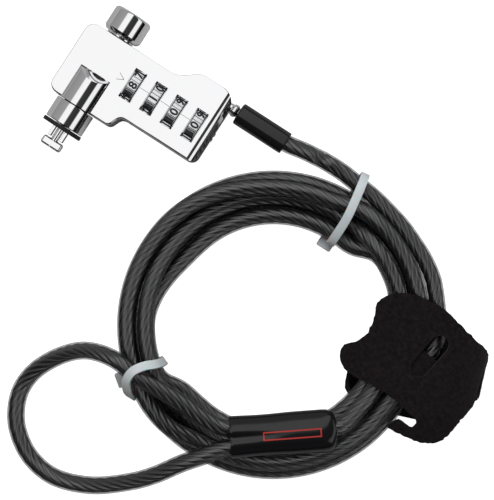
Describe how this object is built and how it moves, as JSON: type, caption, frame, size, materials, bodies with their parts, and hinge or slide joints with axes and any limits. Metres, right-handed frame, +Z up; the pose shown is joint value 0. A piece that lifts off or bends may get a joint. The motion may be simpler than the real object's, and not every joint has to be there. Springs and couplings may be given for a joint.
{
  "type": "combination cable lock",
  "caption": "Chrome combination lock head with number dials and a turning T-bar, swivelling on a coiled steel cable that ends in a crimped loop, with ties and a strap.",
  "frame": {"origin": "bottom centre of the lock head with its T-bar, knob and swivel stud, on the surface that everything lies on", "axes": "+X from the wide block along the dials towards the cable, +Y from the T-bar towards the knob, +Z up out of the dial face"},
  "size_m": [0.1609, 0.133, 0.0254],
  "materials": {
    "chrome": "polished",
    "steel": "satin",
    "brass": "satin",
    "dial_metal": "satin plated",
    "washer_rubber": "matt",
    "black_plastic": "gloss",
    "cable": "clear smoky jacket over twisted steel wire",
    "nylon": "translucent",
    "felt": "napped hook and loop"
  },
  "bodies": {
    "cable": {"cable_coil": "cable", "cable_lead": "cable", "cable_loop": "cable", "head_sleeve": "black_plastic", "cable_ferrule": "steel", "swivel_stud": "chrome", "loop_sleeve": "black_plastic", "tie_1": "nylon", "tie_2": "nylon", "strap": "felt"},
    "housing": {"front_cover": "chrome", "rear_cover": "chrome", "cover_rivet_1": "steel", "cover_rivet_2": "steel", "cover_rivet_3": "steel", "barrel": "chrome", "guard_bar_1": "chrome", "guard_bar_2": "chrome", "rubber_washer": "washer_rubber", "spindle_bush": "brass", "detent_leaf": "steel"},
    "turning_spindle": {"spindle": "steel", "knob": "chrome", "knob_pin": "steel", "retaining_clip": "steel"},
    "gate_shaft": {"toothed_shaft": "steel", "shaft_spring": "steel"},
    "reset": {"reset_screw": "steel"},
    "dial_wheel_1": {"dial_1": "dial_metal", "code_hub_1": "brass"},
    "dial_wheel_2": {"dial_2": "dial_metal", "code_hub_2": "brass"},
    "dial_wheel_3": {"dial_3": "dial_metal", "code_hub_3": "brass"},
    "dial_wheel_4": {"dial_4": "dial_metal", "code_hub_4": "brass"}
  },
  "joints": [
    {"name": "head_swivel", "type": "hinge", "parent": "cable", "child": "housing", "pos_m": [0.0208, 0.016, 0.0063], "axis": [1, 0, 0], "continuous": true},
    {"name": "knob_turn", "type": "hinge", "parent": "housing", "child": "turning_spindle", "pos_m": [-0.0185, 0.0055, 0.009], "axis": [0, -1, 0], "range_deg": [0, 90]},
    {"name": "gate_slide", "type": "slide", "parent": "housing", "child": "gate_shaft", "axis": [1, 0, 0], "range_m": [0, 0.0018], "deforming": ["shaft_spring"]},
    {"name": "reset_turn", "type": "hinge", "parent": "housing", "child": "reset", "pos_m": [0.0205, 0.0055, 0.0078], "axis": [1, 0, 0], "range_deg": [0, 90]},
    {"name": "dial_turn_1", "type": "hinge", "parent": "housing", "child": "dial_wheel_1", "pos_m": [-0.0072, 0.0055, 0.0078], "axis": [1, 0, 0], "continuous": true},
    {"name": "dial_turn_2", "type": "hinge", "parent": "housing", "child": "dial_wheel_2", "pos_m": [0.0001, 0.0055, 0.0078], "axis": [1, 0, 0], "continuous": true},
    {"name": "dial_turn_3", "type": "hinge", "parent": "housing", "child": "dial_wheel_3", "pos_m": [0.0074, 0.0055, 0.0078], "axis": [1, 0, 0], "continuous": true},
    {"name": "dial_turn_4", "type": "hinge", "parent": "housing", "child": "dial_wheel_4", "pos_m": [0.0147, 0.0055, 0.0078], "axis": [1, 0, 0], "continuous": true}
  ],
  "couplings": [
    {"joint": "gate_slide", "follows": "knob_turn", "m_per_rad": 0.0011459}
  ]
}
